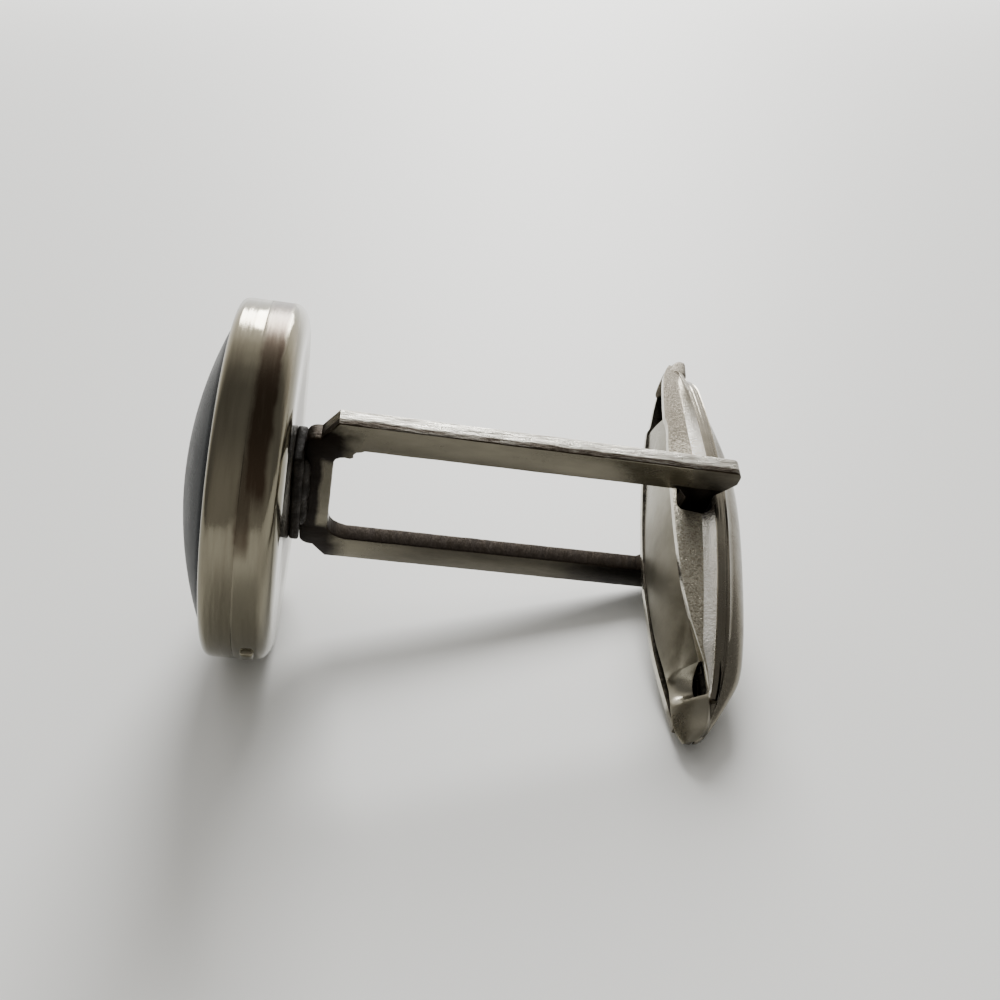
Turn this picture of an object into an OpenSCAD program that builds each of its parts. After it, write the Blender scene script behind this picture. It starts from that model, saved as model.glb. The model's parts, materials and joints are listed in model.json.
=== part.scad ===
// Cufflink with a domed glass face, a stamped open frame post and a turning
// boat-shaped toggle. Drawn lying as it rests on a table: on the face's rim,
// the end of the lower bar and the near tip of the toggle.
// Lengths are in millimetres. Inside the modules +X runs along the post from
// the face to the toggle, Z runs along the toggle's turning axis and Y along
// the toggle; resting() then lays the whole assembly down.

/* [Face] */
// Outer diameter of the face
face_d = 14; // [12:0.5:18]
// Depth of the rim, from its front lip to the flat back
rim_depth = 2.55; // [2.4:0.05:3.2]
// Radius of the rounded shoulder at the back
shoulder_r = 0.95; // [0.5:0.05:1.1]
// Radius of the rounded edge of the front lip
lip_r = 0.3; // [0.15:0.05:0.35]
// Thickness of the rim's sheet
rim_t = 0.45; // [0.3:0.05:0.6]
// Depth of the front ring that shows beside the back cup
ring_depth = 1.15; // [0.9:0.05:1.4]
// Thickness of the flat back
back_t = 0.5; // [0.4:0.05:0.7]
// Height of the glass dome in front of the lip
dome_h = 1.45; // [0.8:0.05:2.2]
// Thickness of the foil behind the glass
foil_t = 0.1; // [0.05:0.01:0.15]

/* [Foot] */
// Height of the brazed pad, along the turning axis
pad_h = 4.9; // [3.6:0.1:5.4]
// Width of the brazed pad
pad_w = 1.9; // [1.4:0.1:2.6]
// Thickness of the brazed pad
pad_t = 0.4; // [0.2:0.05:0.6]
// Leg of the bead of braze along the stub
braze_r = 0.3; // [0.15:0.05:0.4]

/* [Frame] */
// Thickness of the stamped sheet
sheet_t = 0.8; // [0.6:0.05:1]
// Height of the frame over both bars
frame_h = 7.9; // [7.6:0.1:9]
// Width of each bar
bar_w = 1.2; // [0.9:0.05:1.3]
// Distance from the flat back of the face to the turning axis
pivot_x = 16.1; // [14.5:0.1:20]
// Length of each bar past the turning axis
nose_l = 1.25; // [1:0.05:1.5]
// Radius of the nose at the outer corner of each bar
nose_r = 0.3; // [0.1:0.05:0.4]
// Height of the stub that stands on the pad
stub_h = 5.9; // [5.4:0.1:6.4]
// Depth of the stub, which has round ends
stub_l = 0.9; // [0.7:0.05:1.1]
// Depth of the sloped corners between stub and bars
corner_l = 0.95; // [0.7:0.05:1.4]
// Radius of the window's inner corner
window_r = 0.8; // [0.4:0.1:1.2]
// Length of the punching burr in the window's other corner
burr_l = 0.65; // [0.3:0.05:0.9]
// Height of that burr
burr_h = 0.5; // [0.2:0.05:0.6]
// Width of the lug that turns in the toggle
lug_w = 1.12; // [1:0.02:1.16]
// Distance between the tips of the two lugs
lug_gap = 2.5; // [2.3:0.1:2.9]

/* [Toggle] */
// Length of the toggle over its tips
toggle_l = 20.4; // [19:0.2:22]
// Width of the domed back
dome_w = 5; // [4.6:0.05:5.1]
// Width over the two side walls
wall_w = 3.8; // [3.6:0.05:4]
// Width of the rounded tips
tip_w = 1.3; // [1.1:0.05:1.4]
// Radius of the long curve of the back, seen from the side
sweep_r = 36; // [32:1:44]
// Distance of that curve's crest from the turning axis, towards the near tip
crest_y = 2.2; // [1.8:0.2:2.6]
// Radius of the long curve of the rim under the back
ridge_r = 56; // [45:1:80]
// Distance of that curve's crest from the turning axis, towards the near tip
ridge_y = 1.4; // [0.6:0.2:2]
// Lean of the back's flanks, which narrow towards the tips
flank_lean = 28; // [26:1:32]
// Radius of the long curve of the flanks
flank_r = 24; // [23:0.5:27]
// Depth from the turning axis to the face that lies on the cuff
cuff_x = 1.15; // [1.1:0.05:1.3]
// Depth from the turning axis to the rim of the domed back
ridge_x = 0.8; // [0.78:0.02:0.9]
// Straight side of the domed back, beside the rim
band_t = 0.25; // [0.15:0.05:0.35]
// Rise of the domed back over its straight side
back_rise = 1.45; // [1.35:0.05:1.55]
// Thickness of the toggle's sheet
skin_t = 0.35; // [0.3:0.05:0.4]
// Thickness of the cuff plate
plate_t = 0.3; // [0.2:0.05:0.35]
// Thickness of the flange under the domed back
flange_t = 0.28; // [0.2:0.02:0.35]
// Width of the cuff plate at the middle
plate_w = 3; // [2.8:0.1:3.2]
// Width that the cuff plate's curved edges aim for at the tips
tongue_w = 1.7; // [1.4:0.1:2]
// Distance from the turning axis to where the cuff plate starts to rise
flat_y = 3; // [2:0.2:4]
// Distance from the turning axis to the bend of the cuff plate's tongue
bend_y = 7.3; // [6.8:0.1:7.8]
// Depth from the turning axis to that bend
bend_x = 0.75; // [0.6:0.05:0.95]
// Distance from the turning axis to where the walls slope away near the tongue
slope_y = 6.3; // [6:0.1:6.6]
// Distance from the turning axis to the end of the cuff plate at the open end
plate_end_y = 4.2; // [3.4:0.1:5]
// Step by which the walls stand proud of the cuff plate at the open end
rim_rise = 0.15; // [0.05:0.05:0.25]
// Distance from the turning axis to where the walls turn down at the open end
rim_end_y = 8.2; // [7:0.1:8.8]
// Depth of the near tip past the turning axis
near_tip_x = 0.3; // [0.1:0.05:0.4]
// Depth of the far tip past the turning axis
far_tip_x = 0; // [-0.2:0.05:0.2]
// Width of the slot beside the cuff plate
slit_w = 0.12; // [0.08:0.02:0.2]
// Height of the rounded tips, seen from the side
tip_h = 0.6; // [0.4:0.05:0.8]
// Side of the square holes that the lugs enter
hole_w = 1.46; // [1.44:0.01:1.5]
// Radius of the corners of those holes
hole_r = 0.3; // [0.1:0.05:0.35]
// Width of the round vent beside the tongue
vent_w = 1; // [0.6:0.05:1.1]
// Angle that the toggle stands away from square, as it was left
rest_turn = 7.5; // [0:0.5:12]

/* [Spring] */
// Length of the leaf spring
spring_l = 8; // [6:0.5:8.5]
// Width of the leaf spring
spring_w = 2.8; // [2.6:0.1:2.9]
// Thickness of the leaf spring
spring_t = 0.2; // [0.15:0.05:0.25]
// Bow of the leaf spring over its length
spring_bow = 0.2; // [0.1:0.05:0.25]

/* [Hidden] */

// Fineness of the round shapes
$fn = 96;
// Clearance between pieces of one body that slide together when assembled
fit = 0.05;
// Overrun of every cut
over = 1;

// Face: places along the post, from the flat back at zero towards the front
face_r = face_d / 2;
seam_x = rim_depth - ring_depth;
sleeve_r = face_r - rim_t;
seat_r = sleeve_r - rim_t;
seat_x = seam_x + rim_t / 3;
lip_in_r = face_r - 2 * lip_r;
glass_r = lip_in_r - fit;
girdle_r = sleeve_r - fit;
girdle_top = rim_depth - lip_r - fit;
glass_ball_r = (lip_in_r * lip_in_r + dome_h * dome_h) / (2 * dome_h);

// Frame: places in the plane of the sheet
bar_out = frame_h / 2;
bar_in = bar_out - bar_w;
stub_x0 = pad_t;
stub_x1 = stub_x0 + stub_l;
corner_x = stub_x1 + corner_l;
window_x = stub_x1 + sheet_t / 4;
nose_x = pivot_x + nose_l;
lug_tip = lug_gap / 2;
shoulder_slope = bar_in - wall_w / 2;

// Toggle: half sizes and the curves of its outline
half_l = toggle_l / 2;
dome_hw = dome_w / 2;
wall_hw = wall_w / 2;
tip_hw = tip_w / 2;
flange_hw = dome_hw - fit;
wall_tip_hw = tip_hw - 2 * fit;
cap_ball_r = (dome_hw * dome_hw + back_rise * back_rise) / (2 * back_rise);
back_top = ridge_x + band_t + back_rise;
plate_in = cuff_x - plate_t;
tip_r = tip_h / 2;
cavity_y = half_l - 4 * tip_r;
bow_y = slope_y + fit;
slope_x = cuff_x - (cuff_x - bend_x) * (slope_y - flat_y) / (bend_y - flat_y);
vent_y = bend_y + vent_w;
spring_r = (spring_l * spring_l / 4 + spring_bow * spring_bow) / (2 * spring_bow);
lug_reach = sqrt(lug_w * lug_w + sheet_t * sheet_t) / 2;
spring_x = lug_reach + fit;

// Resting pose: the roll about the post and the tilt along it that bring the
// shoulder of the face, the nose of the lower bar and the near half of the domed
// back, at three quarters of its length, to one floor.
rest_y = half_l * 3 / 4;
rest_w = tip_hw + (dome_hw - tip_hw) * (1 - pow(rest_y / half_l, 2));
rest_x = ridge_x + band_t + ((dome_hw + 2 * fit - rest_w) * cos(flank_lean)
    - flank_r + sqrt(flank_r * flank_r - rest_y * rest_y)) / sin(flank_lean);
function tip_rest() = [
    pivot_x + rest_x * cos(rest_turn) - rest_y * sin(rest_turn),
    rest_y * cos(rest_turn) + rest_x * sin(rest_turn),
    rest_w];
function nose_drop(roll, tilt) = nose_r * sqrt(pow(tan(tilt), 2) + pow(cos(roll), 2));
function roll_for(tilt, roll) =
    let(ring = face_r - shoulder_r + shoulder_r / cos(tilt),
        tip = tip_rest(),
        reach = nose_x - nose_r + shoulder_r,
        share = (tip[0] + shoulder_r) / reach,
        a = tip[1] - share * sheet_t / 2,
        b = tip[2] - share * (bar_out - nose_r),
        c = (1 - share) * ring + share * nose_drop(roll, tilt))
    asin(c / sqrt(a * a + b * b)) - atan2(b, a);
function tilt_for(roll, tilt) =
    let(ring = face_r - shoulder_r + shoulder_r / cos(tilt))
    atan((ring - nose_drop(roll, tilt) - sheet_t / 2 * sin(roll)
        - (bar_out - nose_r) * cos(roll)) / (nose_x - nose_r + shoulder_r));
function settle(steps, roll, tilt) = steps == 0 ? [roll, tilt]
    : settle(steps - 1, roll_for(tilt, roll), tilt_for(roll_for(tilt, roll), tilt));
rest_angles = settle(12, 20, 10);
rest_roll = rest_angles[0];
rest_tilt = rest_angles[1];
floor_z = shoulder_r * sin(rest_tilt) - (face_r - shoulder_r) * cos(rest_tilt) - shoulder_r;
front_x = -(rim_depth + dome_h) * cos(rest_tilt);
rear_x = (pivot_x + back_top) * cos(rest_tilt) + half_l / 3 * sin(rest_roll) * sin(rest_tilt);

module resting() {
    translate([-(front_x + rear_x) / 2, 0, -floor_z])
        rotate([0, rest_tilt, 0])
            rotate([rest_roll, 0, 0])
                children();
}

// Places a piece of the toggle at the turning axis, as far off square as it was left.
module on_toggle() {
    translate([pivot_x, 0, 0])
        rotate([0, 0, -rest_turn])
            children();
}

// Turns a profile drawn as radius against depth into a round piece behind the lip.
module round_face() {
    rotate([0, -90, 0])
        rotate_extrude()
            children();
}

// Front ring: its lip is rolled over the glass and its sleeve slips inside the cup.
module bezel_ring() {
    color("silver")
        round_face()
            difference() {
                union() {
                    translate([seat_r, back_t])
                        square([rim_t - fit, rim_depth - back_t - lip_r]);
                    translate([sleeve_r - rim_t, seam_x])
                        square([face_r - sleeve_r + rim_t, ring_depth - lip_r]);
                    translate([face_r - lip_r, rim_depth - lip_r])
                        circle(lip_r);
                    translate([lip_in_r, rim_depth - 2 * lip_r])
                        square([lip_r, 2 * lip_r]);
                }
                translate([0, seat_x])
                    square([sleeve_r, girdle_top + fit - seat_x]);
            }
}

// Back cup: flat back, rounded shoulder and a short side wall.
module back_cup() {
    color("silver")
        round_face()
            difference() {
                union() {
                    square([face_r - shoulder_r, back_t]);
                    intersection() {
                        translate([face_r - shoulder_r, shoulder_r])
                            circle(shoulder_r);
                        square([face_r, shoulder_r]);
                    }
                    translate([face_r - shoulder_r, shoulder_r])
                        square([shoulder_r, seam_x - shoulder_r]);
                }
                translate([0, back_t])
                    square([sleeve_r, rim_depth]);
            }
}

// Glass: a flat-backed dome with a girdle that sits on the ring's sleeve.
module cabochon() {
    color("slategray")
        round_face()
            union() {
                translate([0, seat_x])
                    square([girdle_r, girdle_top - seat_x]);
                intersection() {
                    translate([0, rim_depth + dome_h - glass_ball_r])
                        circle(glass_ball_r);
                    translate([0, seat_x])
                        square([glass_r, rim_depth + dome_h]);
                }
            }
}

module backing_foil() {
    color("steelblue")
        round_face()
            translate([0, seat_x - foil_t])
                square([seat_r - fit, foil_t]);
}

// Cement that fills the cup behind the foil.
module cement_bed() {
    color("tan")
        round_face()
            translate([0, back_t])
                square([seat_r - fit, seat_x - foil_t - back_t]);
}

// Lays a flat outline of the sheet, drawn as depth against height, in its plane.
module sheet(thickness) {
    rotate([90, 0, 0])
        translate([0, 0, -thickness / 2])
            linear_extrude(thickness)
                children();
}

module foot_pad() {
    color("dimgray")
        sheet(pad_w)
            translate([0, -pad_h / 2])
                square([pad_t, pad_h]);
}

// Beads of braze in the corners between the pad and the stub of the frame.
module braze_beads() {
    color("gray")
        for (side = [0, 1])
            mirror([0, side, 0])
                translate([pad_t, sheet_t / 2, 0])
                    intersection() {
                        cylinder(r = braze_r, h = pad_h - stub_l, center = true);
                        translate([0, 0, -pad_h / 2])
                            cube([braze_r, braze_r, pad_h]);
                    }
}

// Upper half of the frame: half of the stub, a bar, its nose and its lug.
module bar() {
    sheet(sheet_t)
        polygon([
            [stub_x0, -fit],
            [stub_x0, stub_h / 2 - stub_l / 2],
            [stub_x1 - stub_l / 2, stub_h / 2],
            [stub_x1, stub_h / 2],
            [corner_x, bar_out],
            [nose_x - nose_r, bar_out],
            [nose_x, bar_out - nose_r],
            [nose_x, bar_out - bar_w / 2],
            [pivot_x + lug_w / 2, dome_hw + 2 * fit],
            [pivot_x + lug_w / 2, lug_tip],
            [pivot_x - lug_w / 2, lug_tip],
            [pivot_x - lug_w / 2, bar_in - shoulder_slope / 2],
            [pivot_x - lug_w / 2 - shoulder_slope / 2, bar_in],
            [window_x, bar_in],
            [window_x, -fit]]);
    sheet(sheet_t)
        translate([stub_x0 + stub_l / 2, stub_h / 2 - stub_l / 2])
            circle(stub_l / 2);
    sheet(sheet_t)
        translate([nose_x - nose_r, bar_out - nose_r])
            circle(nose_r);
}

// Frame: one stamping with two bars, a stub at the foot and two inward lugs.
module post_frame() {
    color("silver")
        union() {
            bar();
            mirror([0, 0, 1])
                bar();
            sheet(sheet_t)
                translate([window_x - fit, bar_in - burr_h])
                    square([burr_l + fit, burr_h + fit]);
            difference() {
                sheet(sheet_t)
                    translate([window_x - fit, -bar_in - fit])
                        square(window_r + fit);
                sheet(sheet_t + over)
                    translate([window_x + window_r, window_r - bar_in])
                        circle(window_r);
            }
        }
}

// Plan of the toggle: a long lens with blunt tips, as a prism along the post.
module lens(half_width, tip_half_width, reach) {
    sag = half_width - tip_half_width;
    curve_r = (half_l * half_l + sag * sag) / (2 * sag);
    rotate([0, 90, 0])
        linear_extrude(toggle_l, center = true)
            intersection() {
                translate([half_width - curve_r, 0])
                    circle(curve_r, $fn = 3 * $fn);
                translate([curve_r - half_width, 0])
                    circle(curve_r, $fn = 3 * $fn);
                rotate([0, 0, 45])
                    square((reach + tip_half_width / 2) * sqrt(2), center = true);
            }
}

// Side view of the room under the cuff plate, sloped to both tips.
module under_plate() {
    linear_extrude(4 * dome_w, center = true)
        polygon([
            [plate_t - cuff_x, -flat_y],
            [plate_t - bend_x, -bend_y],
            [near_tip_x + plate_t - tip_r, tip_r - half_l],
            [near_tip_x + fit, -half_l],
            [near_tip_x + tip_r / 2, -half_l],
            [near_tip_x + tip_r, tip_r - half_l],
            [back_top, -bow_y],
            [back_top, half_l / 2],
            [far_tip_x + tip_r, half_l - tip_r],
            [far_tip_x + tip_r / 2, half_l],
            [far_tip_x - tip_r / 2, half_l],
            [far_tip_x - tip_r, half_l - tip_r],
            [plate_t - cuff_x, rim_end_y]]);
}

// Side view of the walls: proud of the plate at the open end, sloped at the other.
module wall_view() {
    linear_extrude(4 * dome_w, center = true)
        polygon([
            [-cuff_x, -flat_y],
            [-slope_x, -slope_y],
            [ridge_x + fit, -half_l],
            [ridge_x + fit, half_l],
            [far_tip_x - tip_r, half_l],
            [-cuff_x - rim_rise, rim_end_y],
            [-cuff_x - rim_rise, plate_end_y + rim_rise],
            [-cuff_x, plate_end_y]]);
}

// Blank of the cuff plate, with a tongue bent down at the near end.
module plate_blank() {
    intersection() {
        linear_extrude(2 * dome_w, center = true)
            polygon([
                [-cuff_x, plate_end_y],
                [-cuff_x, -flat_y],
                [-bend_x, -bend_y],
                [near_tip_x - tip_r, tip_r - half_l],
                [near_tip_x + plate_t - tip_r, tip_r - half_l],
                [plate_t - bend_x, -bend_y],
                [plate_t - cuff_x, -flat_y],
                [plate_t - cuff_x, plate_end_y]]);
        lens(plate_w / 2, tongue_w / 2, half_l - tip_h);
    }
}

// Room on the cuff side of the rim's long curve, moved by the given depth.
module under_rim(depth) {
    translate([ridge_x - ridge_r - depth, -ridge_y, 0])
        cylinder(r = ridge_r, h = 4 * dome_w, center = true, $fn = 3 * $fn);
}

// Arched room under the long curve of the back, at the given depth in its skin.
module under_back(inset) {
    translate([back_top - sweep_r, -crest_y, 0])
        rotate_extrude($fn = 3 * $fn)
            translate([sweep_r - back_top, 0])
                intersection() {
                    translate([back_top - cap_ball_r, 0])
                        circle(cap_ball_r - inset);
                    translate([-cap_ball_r / 2, -dome_w])
                        square([back_top + cap_ball_r, 2 * dome_w]);
                }
}

// One leaning flank, which narrows the domed back towards its tips.
module flank(side, inset) {
    translate([ridge_x + band_t, 0, side * (dome_hw + 2 * fit)])
        rotate([0, 90 + side * flank_lean, 0])
            translate([side * (flank_r + inset), 0, 0])
                cylinder(r = flank_r, h = 4 * toggle_l, center = true, $fn = 3 * $fn);
}

// Domed back: a shell closed at its tips and open towards the cuff.
module toggle_back() {
    color("silver")
        on_toggle()
            difference() {
                intersection() {
                    under_back(0);
                    lens(dome_hw, tip_hw, half_l);
                    flank(1, 0);
                    flank(-1, 0);
                    under_plate();
                }
                under_rim(0);
                intersection() {
                    under_back(skin_t);
                    lens(dome_hw - skin_t, tip_hw - skin_t, cavity_y);
                    flank(1, skin_t);
                    flank(-1, skin_t);
                    translate([-3 * skin_t / 2, 0, 0])
                        under_plate();
                }
            }
}

// Square hole with round corners, through both side walls.
module lug_holes() {
    linear_extrude(2 * dome_w, center = true)
        union() {
            square([hole_w, hole_w - 2 * hole_r], center = true);
            square([hole_w - 2 * hole_r, hole_w], center = true);
            for (x = [-1, 1])
                for (y = [-1, 1])
                    translate([x, y] * (hole_w / 2 - hole_r))
                        circle(hole_r);
        }
}

// Side walls: two leaves that meet at the far end, with a flange for the back.
module toggle_walls() {
    color("silver")
        on_toggle()
            difference() {
                union() {
                    intersection() {
                        under_rim(0);
                        lens(wall_hw, wall_tip_hw, half_l);
                        wall_view();
                    }
                    intersection() {
                        difference() {
                            under_rim(0);
                            under_rim(flange_t);
                        }
                        lens(flange_hw, tip_hw - fit, half_l - fit);
                        under_plate();
                    }
                }
                lens(wall_hw - skin_t, wall_tip_hw - skin_t, rim_end_y);
                lug_holes();
                plate_blank();
            }
}

// Cuff plate: polished sheet between the walls, with a slot along one edge and
// a round vent in the edge of its tongue.
module cuff_plate() {
    color("silver")
        on_toggle()
            difference() {
                intersection() {
                    plate_blank();
                    translate([0, 0, slit_w])
                        lens(plate_w / 2, tongue_w / 2, half_l - tip_h);
                }
                translate([0, -vent_y, plate_w / 3])
                    rotate([0, 90, 0])
                        cylinder(d = vent_w, h = toggle_l, center = true);
            }
}

// Leaf spring: bears on the lugs and holds the toggle square or in line.
module leaf_spring() {
    color("lightgray")
        on_toggle()
            intersection() {
                translate([spring_x + spring_r, 0, 0])
                    difference() {
                        cylinder(r = spring_r, h = spring_w, center = true, $fn = 3 * $fn);
                        cylinder(r = spring_r - spring_t, h = spring_w + over, center = true,
                            $fn = 3 * $fn);
                    }
                translate([0, -spring_l / 2, -spring_w / 2])
                    cube([spring_x + spring_r / 2, spring_l, spring_w]);
            }
}

resting() bezel_ring();
resting() back_cup();
resting() cabochon();
resting() backing_foil();
resting() cement_bed();
resting() foot_pad();
resting() braze_beads();
resting() post_frame();
resting() toggle_walls();
resting() toggle_back();
resting() cuff_plate();
resting() leaf_spring();
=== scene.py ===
"""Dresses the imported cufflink: a glass-topped face, an open post and a turning toggle."""

import json
from math import asin, atan2, cos, pi, radians, sin, sqrt

import bmesh
import bpy
from mathutils import Matrix, Vector, noise


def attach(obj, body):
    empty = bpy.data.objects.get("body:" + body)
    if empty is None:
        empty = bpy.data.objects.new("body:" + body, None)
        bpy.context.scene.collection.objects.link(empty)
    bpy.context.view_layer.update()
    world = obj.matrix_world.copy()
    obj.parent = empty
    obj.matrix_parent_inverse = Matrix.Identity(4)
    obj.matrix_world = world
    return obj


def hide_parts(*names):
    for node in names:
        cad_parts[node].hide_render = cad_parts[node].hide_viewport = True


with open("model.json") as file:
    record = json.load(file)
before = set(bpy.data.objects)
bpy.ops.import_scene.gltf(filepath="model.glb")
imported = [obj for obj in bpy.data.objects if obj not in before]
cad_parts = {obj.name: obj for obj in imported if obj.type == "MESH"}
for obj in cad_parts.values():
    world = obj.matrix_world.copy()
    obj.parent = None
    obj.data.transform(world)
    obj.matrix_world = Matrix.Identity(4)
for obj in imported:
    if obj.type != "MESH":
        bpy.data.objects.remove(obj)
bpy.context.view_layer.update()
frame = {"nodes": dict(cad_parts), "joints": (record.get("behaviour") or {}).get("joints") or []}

# How the cufflink lies: tilted along the post and rolled about it, as the
# turning axis of the toggle tells. Pieces are drawn in millimetres, with the
# post along X from the flat back of the face, and laid down by this matrix.
swivel = frame["joints"][0]
turning_axis = Vector(swivel["axis"])
turning_point = Vector(swivel["pos_m"])
post_reach = 16.1
lean = (Matrix.Rotation(atan2(turning_axis.x, turning_axis.z), 4, "Y")
        @ Matrix.Rotation(-asin(turning_axis.y), 4, "X"))
lying = (Matrix.Translation(turning_point - lean @ Vector((post_reach / 1000, 0, 0)))
         @ lean @ Matrix.Scale(0.001, 4))

# Camera: held close over the near side, a little to the left of the post and
# about 40 mm from the face. Its frame is as wide as its lens is long.
def placed(name, data):
    thing = bpy.data.objects.new(name, data)
    bpy.context.scene.collection.objects.link(thing)
    return thing

def aim_camera(elevation, azimuth, roll, across, above, away):
    right = Vector((cos(azimuth), sin(azimuth), 0))
    back = Vector((sin(azimuth) * cos(elevation), -cos(azimuth) * cos(elevation),
                   sin(elevation)))
    up = back.cross(right)
    level = right * cos(roll) + up * sin(roll)
    rise = up * cos(roll) - right * sin(roll)
    camera = bpy.data.cameras.new("camera")
    camera.lens = 36
    camera.sensor_width = 36
    camera.clip_start = 0.001
    camera.clip_end = 10
    place = lying.to_translation() + level * across + rise * above + back * away
    stand = placed("camera", camera)
    stand.matrix_world = Matrix.Translation(place) @ Matrix(
        (level, rise, back)).transposed().to_4x4()
    bpy.context.scene.camera = stand

aim_camera(elevation=radians(29.6), azimuth=radians(-5.16), roll=radians(0.23),
           across=0.00823, above=-0.000663, away=0.03976)

# Table and light: a plain pale table, a window well behind the object, and a
# room that is bright on the window's side, dimmest overhead and a little
# lighter again in front.
def blank_material(name):
    matt = bpy.data.materials.new(name)
    matt.use_nodes = True
    return matt, matt.node_tree, matt.node_tree.nodes["Principled BSDF"]

def wired(tree, kind, feeds, **settings):
    """Adds a shader node, whose feeds give its sockets a link or a value each."""
    made = tree.nodes.new("ShaderNode" + kind)
    for name, value in settings.items():
        setattr(made, name, value)
    for socket, feed in feeds.items():
        if isinstance(feed, bpy.types.NodeSocket):
            tree.links.new(feed, made.inputs[socket])
        else:
            made.inputs[socket].default_value = feed
    return made

def pale_table(half_width):
    mesh = bmesh.new()
    bmesh.ops.create_grid(mesh, x_segments=1, y_segments=1, size=half_width)
    data = bpy.data.meshes.new("table")
    mesh.to_mesh(data)
    mesh.free()
    matt, _, shader = blank_material("pale_table")
    shader.inputs["Base Color"].default_value = (0.80, 0.81, 0.80, 1)
    shader.inputs["Roughness"].default_value = 0.55
    data.materials.append(matt)
    placed("table", data)

def soft_lamp(name, place, target, size, power, tint):
    lamp = bpy.data.lights.new(name, "AREA")
    lamp.shape = "DISK"
    lamp.size = size
    lamp.energy = power
    lamp.color = tint
    reach = Vector(target) - Vector(place)
    placed(name, lamp).matrix_world = (Matrix.Translation(Vector(place))
                                       @ reach.to_track_quat("-Z", "Y").to_matrix().to_4x4())

def dim_room(front, shades, back):
    """Room whose brightness follows the shades, from the front to the back."""
    world = bpy.data.worlds.new("room")
    bpy.context.scene.world = world
    world.use_nodes = True
    tree = world.node_tree
    where = wired(tree, "TexCoord", {})
    parts = wired(tree, "SeparateXYZ", {0: where.outputs["Generated"]})
    depth = wired(tree, "MapRange", {"Value": parts.outputs["Y"], "From Min": -1})
    ramp = wired(tree, "ValToRGB", {0: depth.outputs[0]})
    ramp.color_ramp.interpolation = "EASE"
    steps = ramp.color_ramp.elements
    steps[0].color = front
    steps[1].color = back
    for place, shade in shades:
        steps.new(place).color = (shade, 0.97 * shade, 0.92 * shade, 1)
    tree.links.new(ramp.outputs["Color"], tree.nodes["Background"].inputs["Color"])

pale_table(half_width=1.5)
soft_lamp("window", place=(0.16, 1.08, 0.70), target=(0, 0, 0), size=0.55, power=26,
          tint=(1.0, 0.99, 0.97))
dim_room(front=(0.45, 0.43, 0.40, 1), back=(2.1, 2.12, 2.1, 1),
         shades=((0.25, 0.26), (0.45, 0.24), (0.56, 0.34), (0.655, 0.66), (0.72, 0.95),
                 (0.80, 1.6), (0.90, 2.1)))

# Plating: every metal piece is white metal under worn nickel plating. One node
# group gives its patchy colour, its uneven gloss and its fine grain.
# Its stain input takes real stains and also painted shade and painted reflections.
def worn_plating():
    tree = bpy.data.node_groups.new("worn_plating", "ShaderNodeTree")
    for way, kind, names in (
            ("INPUT", "NodeSocketVector", ("Place",)),
            ("INPUT", "NodeSocketColor", ("Plating", "Tarnish")),
            ("INPUT", "NodeSocketFloat", ("Tarnish Amount", "Patch Frequency", "Gloss Low",
                                          "Gloss High", "Grain Frequency", "Grain Height",
                                          "Wave Height", "Stain And Shade")),
            ("OUTPUT", "NodeSocketColor", ("Color",)),
            ("OUTPUT", "NodeSocketFloat", ("Roughness",)),
            ("OUTPUT", "NodeSocketVector", ("Normal",))):
        for name in names:
            tree.interface.new_socket(name=name, in_out=way, socket_type=kind)
    taken = tree.nodes.new("NodeGroupInput").outputs
    patches = wired(tree, "TexNoise", {
        "Vector": taken["Place"], "Scale": taken["Patch Frequency"], "Detail": 6,
        "Roughness": 0.62})
    spread = wired(tree, "MapRange", {
        "Value": patches.outputs["Fac"], "From Min": 0.42, "From Max": 0.68})
    amount = wired(tree, "Math", {
        0: spread.outputs[0], 1: taken["Tarnish Amount"], 2: taken["Stain And Shade"]},
        operation="MULTIPLY_ADD", use_clamp=True)
    colour = wired(tree, "Mix", {
        "Factor": amount.outputs[0], "A": taken["Plating"], "B": taken["Tarnish"]},
        data_type="RGBA")
    grain = wired(tree, "TexNoise", {
        "Vector": taken["Place"], "Scale": taken["Grain Frequency"], "Detail": 4,
        "Roughness": 0.7})
    mixed = wired(tree, "Math", {
        0: grain.outputs["Fac"], 1: 0.5, 2: amount.outputs[0]}, operation="MULTIPLY_ADD")
    gloss = wired(tree, "MapRange", {
        "Value": mixed.outputs[0], "From Min": 0.15, "From Max": 0.75,
        "To Min": taken["Gloss Low"], "To Max": taken["Gloss High"]})
    wave = wired(tree, "TexNoise", {"Vector": taken["Place"], "Scale": 0.9, "Detail": 1})
    low = wired(tree, "Math", {
        0: wave.outputs["Fac"], 1: taken["Wave Height"]}, operation="MULTIPLY")
    height = wired(tree, "Math", {
        0: grain.outputs["Fac"], 1: taken["Grain Height"], 2: low.outputs[0]},
        operation="MULTIPLY_ADD")
    bump = wired(tree, "Bump", {"Height": height.outputs[0], "Distance": 0.001})
    given = tree.nodes.new("NodeGroupOutput").inputs
    tree.links.new(colour.outputs["Result"], given["Color"])
    tree.links.new(gloss.outputs[0], given["Roughness"])
    tree.links.new(bump.outputs["Normal"], given["Normal"])
    return tree

plating_group = worn_plating()

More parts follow.
